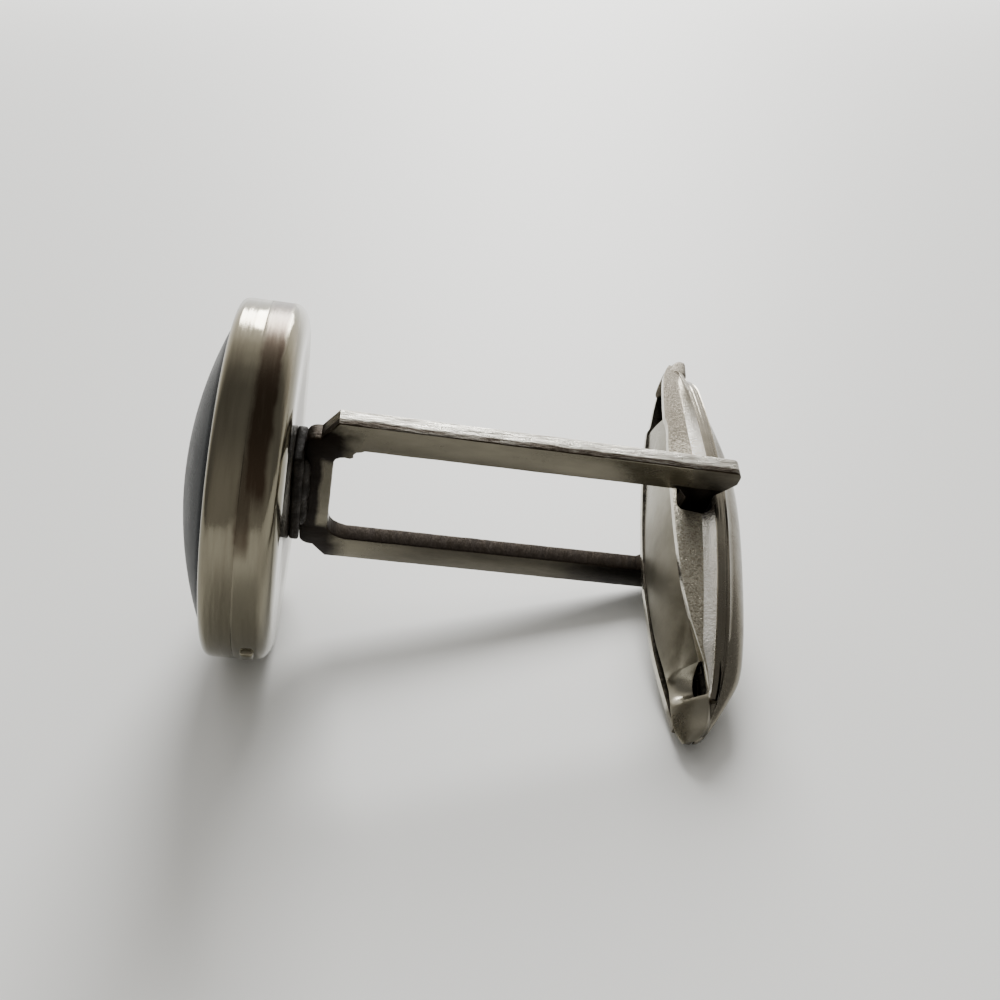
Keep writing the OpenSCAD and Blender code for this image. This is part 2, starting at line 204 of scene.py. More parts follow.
def metal(name, at, plating, tarnish, amount, patches, gloss, grain, wave, stretch=(1, 1, 1)):
    """Plated metal, drawn along the axes of the matrix that lays its piece down.

    Patches is how often the tarnish comes, gloss the lowest and highest
    roughness, grain its frequency and height, and wave a height.
    """
    matt, tree, shader = blank_material(name)
    shader.inputs["Metallic"].default_value = 1.0
    turned_back = at.inverted()
    where = wired(tree, "TexCoord", {})
    own_axes = wired(tree, "Mapping", {
        "Vector": where.outputs["Object"], "Location": turned_back.to_translation(),
        "Rotation": turned_back.to_euler(), "Scale": (1000, 1000, 1000)}, name="own_axes")
    pulled = wired(tree, "Mapping", {"Vector": own_axes.outputs[0], "Scale": stretch})
    coat = wired(tree, "Group", {
        "Place": pulled.outputs[0], "Plating": (*plating, 1), "Tarnish": (*tarnish, 1),
        "Tarnish Amount": amount, "Patch Frequency": patches, "Gloss Low": gloss[0],
        "Gloss High": gloss[1], "Grain Frequency": grain[0], "Grain Height": grain[1],
        "Wave Height": wave}, node_tree=plating_group, name="plating")
    for given, socket in (("Color", "Base Color"), ("Roughness", "Roughness"),
                          ("Normal", "Normal")):
        tree.links.new(coat.outputs[given], shader.inputs[socket])
    return matt

def unplated(matt, specular=0.5):
    shader = matt.node_tree.nodes["Principled BSDF"]
    shader.inputs["Metallic"].default_value = 0.0
    shader.inputs["Specular IOR Level"].default_value = specular
    return matt

def stained_and_shaded(matt, strength, wobble, *ramps):
    """Darkens a metal towards its tarnish where all its ramps are high: real stains, and also
    painted shade and painted reflections.

    Each ramp is an axis of the piece and two places on it, in millimetres: one
    where the metal is clean and one where the darkening is full.
    """
    tree = matt.node_tree
    place = tree.nodes["own_axes"].outputs[0]
    parts = wired(tree, "SeparateXYZ", {0: place})
    ragged = wired(tree, "TexNoise", {"Vector": place, "Scale": 1.2, "Detail": 5})
    stain = strength
    for axis, clean, full in ramps:
        shaken = wired(tree, "Math", {
            0: ragged.outputs["Fac"], 1: wobble, 2: parts.outputs[axis]},
            operation="MULTIPLY_ADD")
        fade = wired(tree, "MapRange", {
            "Value": shaken.outputs[0], "From Min": clean + wobble / 2,
            "From Max": full + wobble / 2}, interpolation_type="SMOOTHSTEP")
        stain = wired(tree, "Math", {0: stain, 1: fade.outputs[0]},
                      operation="MULTIPLY").outputs[0]
    socket = tree.nodes["plating"].inputs["Stain And Shade"]
    if socket.is_linked:
        stain = wired(tree, "Math", {0: socket.links[0].from_socket, 1: stain},
                      operation="MAXIMUM").outputs[0]
    tree.links.new(stain, socket)

def redressed(node, matt):
    """Gives a solid that shows as it is a better material."""
    materials = frame["nodes"][node].data.materials
    materials.clear()
    materials.append(matt)

def finished(mesh, name, at, body, node, slot, *matts):
    """Lays a drawn mesh down as a piece that rides on a body and stands for a node."""
    bmesh.ops.transform(mesh, matrix=at, verts=mesh.verts)
    data = bpy.data.meshes.new(name)
    mesh.to_mesh(data)
    mesh.free()
    for face in data.polygons:
        face.use_smooth = True
    data.set_sharp_from_angle(angle=radians(38))
    piece = placed(name, data)
    for matt in matts:
        data.materials.append(matt)
    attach(piece, body)
    if node:
        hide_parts(node)
    return piece

# Face: a front ring whose lip is rolled over the glass, slipped into a spun back
# cup with a rounded shoulder. Both are polished plating. On the near side they
# carry a painted dark reflection tinted brown and a painted reflection spot
# below it; round the foot the back has the torch's soft stain, darkened further
# as a painted reflection of the dark foot.
face_r = 7.0
sleeve_r = 6.5
seat_r = 6.12
seam_depth = 1.39
seam_half = 0.002
glass_back = 1.56
rim_depth = 2.55
lip_r = 0.3
lip_in_r = 6.4
curl_r = 0.06
cup_sheet = 0.5
ring_play = 0.02
shoulder_w = 1.0
shoulder_depth = 0.58

# With this the uneven surfaces come out the same at each run.
noise.seed_set(1)

def arc(centre, radius, start, end, steps):
    angles = [radians(start + (end - start) * i / steps) for i in range(steps + 1)]
    return [(centre[0] + radius * cos(a), centre[1] + radius * sin(a)) for a in angles]

def eased_edge(way):
    """Edge of the ring or the cup at the seam, from the inside to the outside."""
    return [(face_r - inset, seam_depth + way * gap)
            for inset, gap in ((0.015, seam_half), (0.003, 0.004), (0, 0.011))]

def turned(profile, closed=True):
    """Turns a profile of radius and depth about the post."""
    mesh = bmesh.new()
    verts = [mesh.verts.new((-depth, 0, radius)) for radius, depth in profile]
    ends = verts[1:] + verts[:1] if closed else verts[1:]
    edges = [mesh.edges.new(pair) for pair in zip(verts, ends)]
    bmesh.ops.spin(mesh, geom=verts + edges, axis=(1, 0, 0), cent=(0, 0, 0), steps=180,
                   angle=2 * pi, use_merge=True)
    bmesh.ops.remove_doubles(mesh, verts=mesh.verts, dist=0.0005)
    bmesh.ops.recalc_face_normals(mesh, faces=mesh.faces)
    return mesh

def ripple(mesh, size, height, number):
    """Makes a surface uneven, and each numbered one in its own way."""
    shift = Vector((number * 7.3, number * 3.1, number * 5.7))
    for vert in mesh.verts:
        vert.co += height * noise.noise_vector(vert.co / size + shift)

def bevelled(mesh, edges, radius, segments, material=-1, clamp_overlap=False):
    bmesh.ops.bevel(mesh, geom=edges, offset=radius, offset_type="OFFSET", segments=segments,
                    profile=0.5, affect="EDGES", material=material,
                    clamp_overlap=clamp_overlap)

def block(size):
    mesh = bmesh.new()
    bmesh.ops.create_cube(mesh, size=1)
    bmesh.ops.scale(mesh, vec=size, verts=mesh.verts)
    return mesh

def joined(mesh, other):
    carrier = bpy.data.meshes.new("carrier")
    other.to_mesh(carrier)
    other.free()
    mesh.from_mesh(carrier)
    bpy.data.meshes.remove(carrier)
    return mesh

def rim_tab():
    """Small tab that stands out of the cup's rim near the table."""
    tab = block((0.5, 0.75, 1.1))
    bevelled(tab, tab.edges[:], 0.14, 4)
    bmesh.ops.transform(tab, matrix=Matrix.Rotation(radians(-73), 4, "X")
                        @ Matrix.Translation((-0.85, 0, -6.62)), verts=tab.verts)
    return tab

rim_plating_and_reflections = metal(
    "rim_plating_and_reflections", lying, plating=(0.225, 0.207, 0.155), tarnish=(0.060, 0.043, 0.029),
    amount=0.30, patches=0.45, gloss=(0.06, 0.26), grain=(2.6, 0.004), wave=0.014,
    stretch=(6.0, 0.5, 0.5))
# The painted dark reflection tinted brown, the painted reflection spot below it, and the torch's
# stain on the back, deepened as a painted reflection of the foot.
stained_and_shaded(rim_plating_and_reflections, 0.9, 0.3, ("X", -1.5, -1.2), ("X", -0.45, -0.7), ("Z", 4.3, 5.2))
stained_and_shaded(rim_plating_and_reflections, 0.75, 0.3, ("X", -1.55, -1.35), ("X", -0.85, -1.05), ("Z", 2.9, 3.7),
        ("Z", 6.2, 5.6))
stained_and_shaded(rim_plating_and_reflections, 1.0, 0.9, ("X", -0.9, 0.2), ("Z", -5.2, -1.6), ("Z", 5.6, 2.0),
        ("Y", -5.2, -1.0), ("Y", 5.2, 1.0))

ring = turned(
    [(seat_r, cup_sheet + ring_play), (sleeve_r, cup_sheet + ring_play),
     (sleeve_r, seam_depth + seam_half)] + eased_edge(1) + [(face_r, 1.75), (face_r, 2.0)]
    + arc((face_r - lip_r, rim_depth - lip_r), lip_r, 0, 90, 10) + [(sleeve_r, rim_depth)]
    + arc((lip_in_r + curl_r, rim_depth - curl_r), curl_r, 90, 180, 4)
    + [(lip_in_r, 2.27), (6.55, 2.25), (6.55, glass_back), (seat_r, glass_back)])
ripple(ring, 3.0, 0.012, 1)
finished(ring, "front_ring", lying, "face_and_post", "bezel_ring", "face_metal", rim_plating_and_reflections)

shoulder = [(face_r - shoulder_w + shoulder_w * sin(radians(a)),
             shoulder_depth - shoulder_depth * cos(radians(a))) for a in range(0, 91, 5)]
cup = turned(
    [(0, 0), (2, 0), (4, 0), (5.6, 0)] + shoulder + [(face_r, 1.25)] + eased_edge(-1)[::-1]
    + [(6.56, seam_depth - seam_half), (6.56, cup_sheet), (4, cup_sheet), (0, cup_sheet)],
    closed=False)
ripple(cup, 3.0, 0.010, 2)
finished(joined(cup, rim_tab()), "spun_cup", lying, "face_and_post", "back_cup", "face_metal",
         rim_plating_and_reflections)

# Glass: a domed stone of clear glass over a dark blue-grey foil, bedded in
# cement. It is ground flat behind and held by the rolled lip.
dome_edge_r = 6.34
dome_h = 1.45
dome_rings = 24

def clear_glass():
    matt, tree, shader = blank_material("smoky_glass")
    for socket, value in (("Base Color", (0.012, 0.015, 0.019, 1)), ("IOR", 1.12),
                          ("Specular IOR Level", 0.1), ("Transmission Weight", 0.3)):
        shader.inputs[socket].default_value = value
    where = wired(tree, "TexCoord", {})
    smears = wired(tree, "TexNoise", {
        "Vector": where.outputs["Object"], "Scale": 420, "Detail": 5})
    gloss = wired(tree, "MapRange", {
        "Value": smears.outputs["Fac"], "To Min": 0.12, "To Max": 0.42})
    tree.links.new(gloss.outputs[0], shader.inputs["Roughness"])
    return matt

def glass_profile():
    girdle = [(0, glass_back), (3, glass_back), (6.44, glass_back), (6.49, 1.6), (6.49, 2.14),
              (6.42, 2.2), (6.36, 2.26), (6.36, 2.5)]
    ball_r = (lip_in_r ** 2 + dome_h ** 2) / (2 * dome_h)
    radii = [dome_edge_r * (1 - i / dome_rings) for i in range(1, dome_rings + 1)]
    return girdle + [(r, rim_depth + dome_h - ball_r + sqrt(ball_r ** 2 - r ** 2))
                     for r in radii]

finished(turned(glass_profile(), closed=False), "glass_dome", lying, "face_and_post",
         "cabochon", "glass_dome", clear_glass())
redressed("backing_foil", metal(
    "dark_foil", lying, plating=(0.05, 0.07, 0.095), tarnish=(0.03, 0.045, 0.065), amount=0.6,
    patches=0.8, gloss=(0.25, 0.4), grain=(6.0, 0.002), wave=0.01))
redressed("cement_bed", unplated(metal(
    "set_cement", lying, plating=(0.45, 0.40, 0.32), tarnish=(0.30, 0.26, 0.20), amount=0.7,
    patches=1.5, gloss=(0.7, 0.9), grain=(5.0, 0.03), wave=0.02)))

# Foot: a small pad brazed to the middle of the cup, with lumpy beads of braze
# along the stub. The torch left it dark and scaly.
pad_t = 0.4
bead_l = 4.0
bead_r = 0.3
bead_place = 0.42

def part_way(value, start, end):
    """Share of the way from one value to another, kept between 0 and 1."""
    return min(1, max(0, (value - start) / (end - start)))

def brazed_pad():
    pad = block((pad_t, 1.9, 4.9))
    bmesh.ops.translate(pad, vec=(pad_t / 2, 0, 0), verts=pad.verts)
    bevelled(pad, pad.edges[:], 0.12, 3)
    bmesh.ops.subdivide_edges(pad, edges=pad.edges[:], cuts=6, use_grid_fill=True)
    for vert in pad.verts:
        vert.co += 0.05 * noise.noise_vector(vert.co * 1.6) * part_way(vert.co.x, 0, pad_t / 2)
    return pad

def braze_bead(side):
    bead = bmesh.new()
    bmesh.ops.create_cone(bead, cap_ends=True, segments=28, radius1=bead_r, radius2=bead_r,
                          depth=bead_l)
    long_edges = [e for e in bead.edges if abs((e.verts[0].co - e.verts[1].co).z) > 1]
    bmesh.ops.subdivide_edges(bead, edges=long_edges, cuts=40)
    for vert in bead.verts:
        lump = 0.82 + 0.34 * noise.noise(Vector((side * 4, 0, vert.co.z * 1.1)))
        taper = sqrt(max(0.04, 1 - (abs(vert.co.z) / (bead_l / 2 + 0.02)) ** 6))
        vert.co.x *= lump * taper
        vert.co.y *= lump * taper
        vert.co += 0.03 * noise.noise_vector(vert.co * 3 + Vector((side, 0, 0)))
    bmesh.ops.translate(bead, vec=(bead_place, side * bead_place, 0), verts=bead.verts)
    return bead

scorched = unplated(metal(
    "scorched_braze", lying, plating=(0.020, 0.016, 0.012), tarnish=(0.004, 0.003, 0.002),
    amount=0.9, patches=1.4, gloss=(0.30, 0.60), grain=(4.0, 0.05), wave=0.12), specular=0.12)
finished(brazed_pad(), "brazed_pad", lying, "face_and_post", "foot_pad", "brazed_metal",
         scorched)
finished(joined(braze_bead(-1), braze_bead(1)), "braze_beads_dressed", lying, "face_and_post",
         "braze_beads", "brazed_metal", scorched)

# Post: one stamping of 0.8 mm sheet with two bars, a stub at the foot and two
# lugs for the toggle. Its flat sides are plated smooth, its edges are sheared,
# and the edges inside the window are torn.
post_sheet = 0.8
window_top = 2.75
nose_r = 0.3
nose_end = 17.35
stub_corner_r = 0.45
lug_half = 0.56
lug_end = 1.25
edge_step = 0.16

def side_outline():
    """Outline of the stamping seen from the side, once round from the stub."""
    stub_top = ([(0.4, 2.65)] + arc((0.85, window_top), stub_corner_r, 165, 90, 5)
                + [(0.95, 3.2), (1.55, 4.12)])
    stub_bottom = ([(0.4, -2.7)] + arc((0.85, -2.9), stub_corner_r, 195, 270, 5)
                   + [(0.95, -3.35), (1.5, -4.04)])
    nose = (arc((nose_end - nose_r, 3.75), nose_r, 90, 0, 6)
            + [(nose_end, 3.4), (post_reach + lug_half, 2.6), (post_reach + lug_half, lug_end),
               (post_reach - lug_half, lug_end), (post_reach - lug_half, 2.33),
               (15.12, window_top)])
    low_nose = [(x, -z) for x, z in nose]
    burr = [(2.62, window_top), (2.5, 2.66), (2.32, 2.62), (2.2, 2.46), (2.22, 2.3),
            (2.1, 2.22), (1.9, 2.26), (1.72, 2.22), (1.56, 2.12), (1.5, 1.95)]
    fillet = [(1.5, -1.95), (1.56, -2.25), (1.75, -2.5), (2.0, -2.66), (2.3, -window_top)]
    return stub_top + nose + burr + fillet + low_nose[::-1] + stub_bottom[::-1]

def closely_spaced(points, step):
    dense = []
    for (x0, z0), (x1, z1) in zip(points, points[1:] + points[:1]):
        count = max(1, round(sqrt((x1 - x0) ** 2 + (z1 - z0) ** 2) / step))
        dense += [(x0 + (x1 - x0) * i / count, z0 + (z1 - z0) * i / count)
                  for i in range(count)]
    return dense

def stamped(outline):
    """Sheet cut to an outline with slightly uneven, eased edges."""
    mesh = bmesh.new()
    rim = []
    for x, z in outline:
        shake = noise.noise_vector(Vector((x * 1.3, 0, z * 1.3))) * 0.016
        shake += noise.noise_vector(Vector((x * 5, 3, z * 5))) * 0.008
        rim.append(mesh.verts.new((x + shake.x, -post_sheet / 2, z + shake.z)))
    near_side = mesh.faces.new(rim)
    raised = bmesh.ops.extrude_face_region(mesh, geom=[near_side])["geom"]
    bmesh.ops.translate(mesh, vec=(0, post_sheet, 0),
                        verts=[v for v in raised if isinstance(v, bmesh.types.BMVert)])
    bmesh.ops.recalc_face_normals(mesh, faces=mesh.faces)
    flat_rims = [e for e in mesh.edges if abs(e.verts[0].co.y - e.verts[1].co.y) < 0.01]
    bevelled(mesh, flat_rims, 0.07, 3, material=1, clamp_overlap=True)
    return mesh

def sort_faces(mesh):
    """Flat sides and the stub's inner edge are 0, outer edges 1, the bars' inner ones 2."""
    for face in mesh.faces:
        middle = face.calc_center_median()
        if abs(face.normal.y) > 0.9 or (abs(middle.z) < 1.9 and middle.x < 3):
            face.material_index = 0
        elif middle.z * face.normal.z < -0.3 and middle.x > 1.54:
            face.material_index = 2
        else:
            face.material_index = 1

stamping = stamped(closely_spaced(side_outline(), edge_step))
sort_faces(stamping)
bmesh.ops.triangulate(stamping, faces=[f for f in stamping.faces if len(f.verts) > 4])

# Besides the torch's stain at the foot, the post is dark round the stub's
# corners and along its lower bar, and has painted shade at its end, on the
# lugs and beside them, where they go into the toggle.
torch_stain = ("X", 1.2, 0.95)
lug_shade = (("X", 14.6, 15.0), ("Z", 3.1, 2.9), ("Z", -3.1, -2.9))
post_side = metal(
    "post_side", lying, plating=(0.175, 0.160, 0.122), tarnish=(0.010, 0.007, 0.005),
    amount=0.25, patches=0.5, gloss=(0.16, 0.36), grain=(6.0, 0.006), wave=0.03,
    stretch=(0.5, 1, 1.4))
stained_and_shaded(post_side, 1.0, 0.3, torch_stain)
stained_and_shaded(post_side, 1.0, 1.2, ("X", 2.6, 1.5), ("Z", 1.7, 2.2), ("Z", 4.0, 3.4))
stained_and_shaded(post_side, 1.0, 1.2, ("X", 2.6, 1.5), ("Z", -1.7, -2.2))
stained_and_shaded(post_side, 0.5, 0.8, ("X", 2.0, 6.0), ("Z", -2.2, -2.7))
stained_and_shaded(post_side, 0.8, 0.8, ("X", 8.5, 13.0), ("Z", -2.2, -2.7))
# Painted shade at the post's end, on the lugs and beside them.
stained_and_shaded(post_side, 0.6, 0.8, ("X", 15.1, 15.9))
stained_and_shaded(post_side, 1.0, 0.2, *lug_shade)
post_edge = metal(
    "sheared_edge", lying, plating=(0.42, 0.407, 0.36), tarnish=(0.030, 0.022, 0.014),
    amount=0.55, patches=1.6, gloss=(0.22, 0.5), grain=(3.6, 0.06), wave=0.05,
    stretch=(0.5, 2.6, 1))
stained_and_shaded(post_edge, 1.0, 0.3, torch_stain)
stained_and_shaded(post_edge, 0.8, 0.16, ("Y", -0.06, -0.16))
# Painted shade beside the lugs.
stained_and_shaded(post_edge, 1.0, 0.2, *lug_shade)
torn_edge = metal(
    "torn_edge", lying, plating=(0.034, 0.027, 0.021), tarnish=(0.012, 0.008, 0.006),
    amount=0.75, patches=1.1, gloss=(0.28, 0.55), grain=(5.0, 0.045), wave=0.05,
    stretch=(1.8, 0.3, 1))
stained_and_shaded(torn_edge, 1.0, 0.3, torch_stain)
finished(stamping, "stamped_post", lying, "face_and_post", "post_frame", "post_metal",
         post_side, post_edge, torn_edge)

# Toggle back: a pressed boat-shaped shell with a straight band along its rim.
# It is polished plating, and shows two fine lines where it meets the walls.
rest_turn = sum(swivel["range_deg"]) / 2
swung = (lying @ Matrix.Translation((post_reach, 0, 0))
         @ Matrix.Rotation(-radians(rest_turn), 4, "Z"))
half_length = 10.2
back_half = 2.5
back_tip_half = 0.65
back_sheet = 0.3
back_near_end = -10.05
back_far_end = 9.88
flank_half = 2.6
flank_depth = 1.05
flank_bow_r = 24
flank_down = 0.469
flank_across = 0.883
crown_r = 2.88
near_slope_rise = 0.54

def bow(y, half_width, tip_half_width):
    """Half width of a long lens whose sides are arcs, at one place along it."""
    sag = half_width - tip_half_width
    curve = (half_length ** 2 + sag ** 2) / (2 * sag)
    return half_width - curve + sqrt(curve ** 2 - y ** 2)

def drawn_line(points):
    """Smooth line through a few places along the toggle and the depths there."""
    def depth_at(y):
        y = min(max(y, points[0][0]), points[-1][0])
        at = next((i for i in range(1, len(points)) if y <= points[i][0]), len(points) - 1)
        def slope(i):
            before = points[max(0, i - 1)]
            after = points[min(len(points) - 1, i + 1)]
            return (after[1] - before[1]) / (after[0] - before[0])
        (y0, d0), (y1, d1) = points[at - 1], points[at]
        span = y1 - y0
        t = (y - y0) / span
        return (d0 * (1 + 2 * t) * (1 - t) ** 2 + d1 * t * t * (3 - 2 * t)
                + span * slope(at - 1) * t * (1 - t) ** 2 - span * slope(at) * t * t * (1 - t))
    return depth_at

ridge_depth = drawn_line([
    (-10.2, 0.20), (-9.8, 0.50), (-9.3, 0.76), (-8.6, 0.92), (-7.7, 0.98), (-4, 0.94),
    (0, 0.82), (3.2, 0.50), (6.5, 0.17), (8.4, -0.02), (10.2, -0.22)])
crown_depth = drawn_line([
    (-10.2, 1.75), (-6.6, 2.32), (-2.2, 2.5), (1, 2.42), (3, 2.08), (5, 1.46), (6.5, 0.88),
    (7.6, 0.52), (8.4, 0.36), (9.3, 0.26), (10.2, 0.2)])

def rounded(y, start, end):
    """Falls from 1 to nearly 0 between two places, as a quarter circle does."""
    return sqrt(max(0.0004, 1 - part_way(y, start, end) ** 2))

def back_reach(y, angle):
    """How far the shell lies from the middle of its rim, in one direction.

    Four shapes limit it: the band, the sloping flank, the ball of the crown and
    the slope up to the near tip. They run into each other with soft corners.
    """
    base = ridge_depth(y)
    across = abs(cos(angle))
    down = sin(angle)
    band = bow(y, back_half, back_tip_half) / max(across, 0.001)
    moved_in = flank_bow_r - sqrt(flank_bow_r ** 2 - y ** 2)
    flank = ((flank_down * (flank_depth - base) + flank_across * flank_half - moved_in)
             / (flank_down * down + flank_across * across))
    rise = base - (crown_depth(y) - crown_r)
    crown = -rise * down + sqrt((rise * down) ** 2 - rise ** 2 + crown_r ** 2)
    near_slope = max(0.08, 0.86 + (y + 9.9) * near_slope_rise - base) / max(down, 0.001)
    return sum(limit ** -14 for limit in (band, flank, crown, near_slope)) ** (-1 / 14)

def back_profile(y):
    band = [(0, -0.05), (0.02, -0.012), (0.06, 0), (0.13, 0), (0.19, 0), (0.22, -0.02),
            (0.245, -0.055), (0.30, -0.06), (0.33, -0.03), (0.37, -0.015)]
    arch_steps = 22
    base = ridge_depth(y)
    width = back_reach(y, 0.0)
    centre = base + 0.2
    shrink = rounded(-y, 9.0, 10.05)
    shrink *= max(rounded(y, 7.0, 8.9), 0.66 * rounded(y, 9.2, 9.9))
    share = min(1, width / 1.4) * shrink
    half = [(base + depth * share, width + inset * share) for depth, inset in band]
    start = atan2(0.42 * share, width)
    for step in range(1, arch_steps + 1):
        angle = start + (pi / 2 - start) * step / arch_steps
        reach = back_reach(y, angle)
        half.append((base + reach * sin(angle), reach * cos(angle)))
    half = [(centre + (x - centre) * shrink, w * shrink) for x, w in half]
    return half + [(x, -w) for x, w in half[-2::-1]]

def stations(first, last, count):
    """Places along the toggle, closer together towards both ends."""
    middle = (first + last) / 2
    spread = (last - first) / 2
    return [middle + spread * sin(pi / 2 * (2 * i / count - 1) * 0.999) for i in range(count + 1)]

def lofted(profile, places, *settings):
    """Skin over the profiles at all the places, each a row of depths and widths."""
    profiles = [profile(y, *settings) for y in places]
    rows = len(places) - 1
    columns = len(profiles[0]) - 1
    mesh = bmesh.new()
    bmesh.ops.create_grid(mesh, x_segments=rows, y_segments=columns, size=0.5)
    for vert in mesh.verts:
        i = round((vert.co.x + 0.5) * rows)
        j = round((vert.co.y + 0.5) * columns)
        x, w = profiles[i][j]
        vert.co = (x, places[i], w)
    return mesh

def outward(mesh, inside):
    """Turns the faces so that most of them look away from a point inside."""
    mesh.normal_update()
    wrong = sum(1 for f in mesh.faces if f.normal.dot(f.calc_center_median() - inside) < 0)
    if wrong > len(mesh.faces) / 2:
        bmesh.ops.reverse_faces(mesh, faces=mesh.faces)
    return mesh

def walled(piece, thickness, rounding=0, inner_slots=0, rim_slots=0):
    """Gives a skin its thickness, with other material slots inside and on the rim."""
    sheet = piece.modifiers.new("sheet", "SOLIDIFY")
    sheet.thickness = thickness / 1000
    sheet.offset = -1
    sheet.material_offset = inner_slots
    sheet.material_offset_rim = rim_slots
    if rounding:
        edge = piece.modifiers.new("rounding", "BEVEL")
        edge.width = rounding / 1000
        edge.segments = 3
        edge.limit_method = "ANGLE"
        edge.angle_limit = radians(50)
    return piece

dome_polish = metal(
    "dome_polish", swung, plating=(0.22, 0.203, 0.165), tarnish=(0.12, 0.103, 0.075),
    amount=0.5, patches=0.5, gloss=(0.14, 0.32), grain=(9.0, 0.004), wave=0.02)
shell = outward(lofted(back_profile, stations(back_near_end, back_far_end, 100)), Vector((0, 0, 0)))
walled(finished(shell, "boat_shell", swung, "toggle", "toggle_back", "toggle_metal",
                dome_polish), back_sheet)

# Toggle walls: two folded leaves with square holes for the lugs. Their flat
# sides are left grainy, and a polished hollow runs out to the flange; it is
# painted near white as a painted highlight, darker towards the far end.
rim_depths = {
    1: drawn_line([
        (-9.0, 0.86), (-8.3, 0.75), (-7.6, 0.62), (-6.9, 0.38), (-5.5, -0.10), (-4, -0.46),
        (-2.3, -0.70), (-0.8, -0.84), (2.7, -1.03), (4.3, -1.02), (4.7, -1.12), (6.5, -1.10),
        (8.2, -0.98), (9, -0.78), (9.5, -0.58), (10.15, -0.3)]),
    -1: drawn_line([
        (-9.6, -0.05), (-8.4, -0.25), (-6, -0.64), (-4.6, -0.78), (-2.1, -1.0), (3.6, -1.15),
        (6.4, -1.12), (6.7, -0.99), (8, -0.85), (9, -0.68), (9.5, -0.5), (10.15, -0.3)])}
wall_half = 1.9
tip_half = 0.5
flange_half = 2.45
flange_tip_half = 0.6
leaf_sheet = 0.28
leaf_far_end = 9.4
eased_r = 0.06
lug_hole_w = 1.46
lug_hole_r = 0.3
cutter_l = 7

def wall_edge(y):
    return bow(y, wall_half, tip_half)

def flange_edge(y):
    """Half width at the flange, which dies out towards the far tip."""
    full = bow(y, flange_half, flange_tip_half)
    return wall_edge(y) + (full - wall_edge(y)) * max(0.1, part_way(y, 9.0, 6.8))

def wall_profile(y, side):
    """Wall from its rim down to the hollow, the hollow and the edge of the flange."""
    wall = wall_edge(y)
    flange = flange_edge(y)
    foot = ridge_depth(y) - 0.16
    rim = min(rim_depths[side](y), foot - 0.06)
    hollow = min(0.37 - 0.2 * part_way(y, 4, 9.5), (foot - rim) * 0.7)
    points = [(rim + (foot - hollow - rim) * i / 8, wall) for i in range(9)]
    points += [(foot - hollow + hollow * t + 0.05 * sin(pi * t),
                wall + (flange - 0.06 - wall) * t) for t in (i / 9 for i in range(1, 10))]
    points += [(foot + 0.03, flange - 0.01), (foot + 0.1, flange), (foot + 0.19, flange)]
    return [(x, side * w) for x, w in points]

def sort_leaf_faces(mesh):
    """The flat wall and its far end are 0, the hollow 1 and the flange's edge 6."""
    for face in mesh.faces:
        middle = face.calc_center_median()
        spread = abs(middle.z) - wall_edge(middle.y)
        if spread < 0.012 or middle.y > 8.6:
            face.material_index = 0
        elif spread < flange_edge(middle.y) - wall_edge(middle.y) - 0.04:
            face.material_index = 1
        else:
            face.material_index = 6

def lug_window():
    cutter = block((lug_hole_w, lug_hole_w, cutter_l))
    upright = [e for e in cutter.edges if abs(e.verts[0].co.z - e.verts[1].co.z) > 1]
    bevelled(cutter, upright, lug_hole_r, 5)
    bmesh.ops.transform(cutter, matrix=swung, verts=cutter.verts)
    data = bpy.data.meshes.new("lug_window")
    cutter.to_mesh(data)
    cutter.free()
    return placed("lug_window", data)

def cut_and_set(piece, cutter):
    """Cuts the hole and keeps the mesh that the modifiers make."""
    hole = piece.modifiers.new("lug_hole", "BOOLEAN")
    hole.operation = "DIFFERENCE"
    hole.object = cutter
    hole.solver = "EXACT"
    seen = piece.evaluated_get(bpy.context.evaluated_depsgraph_get())
    plain = bpy.data.meshes.new_from_object(seen)
    piece.modifiers.clear()
    piece.data = plain

wall_grain = metal(
    "grainy_wall", swung, plating=(0.46, 0.43, 0.35), tarnish=(0.11, 0.095, 0.07),
    amount=0.85, patches=11.0, gloss=(0.24, 0.44), grain=(8.5, 0.05), wave=0.03)
stained_and_shaded(wall_grain, 0.8, 1.0, ("Y", 1.0, 4.5))
# The hollow: polished, with a painted highlight in its near-white colour.
hollow_polish_and_highlight = metal(
    "polished_hollow_and_highlight", swung, plating=(0.95, 0.93, 0.87), tarnish=(0.17, 0.155, 0.12),
    amount=0.12, patches=0.7, gloss=(0.16, 0.36), grain=(7.0, 0.03), wave=0.02)
stained_and_shaded(hollow_polish_and_highlight, 0.95, 1.0, ("Y", 2.5, 6.5))
# Inner sides of the leaves and the plate: painted shade inside the toggle.
painted_shade_inside = metal(
    "painted_shade_inside", swung, plating=(0.055, 0.048, 0.036), tarnish=(0.010, 0.008, 0.006),
    amount=0.8, patches=2.5, gloss=(0.4, 0.7), grain=(6.0, 0.04), wave=0.02)
# Sheet edges of the leaves and the plate: a painted highlight, dimmed to painted shade near the
# near tip.
painted_rim_highlight = metal(
    "painted_rim_highlight", swung, plating=(0.72, 0.69, 0.60), tarnish=(0.13, 0.115, 0.085),
    amount=0.2, patches=1.6, gloss=(0.16, 0.3), grain=(6.0, 0.01), wave=0.02)
stained_and_shaded(painted_rim_highlight, 0.9, 0.3, ("Y", -8.1, -8.6))

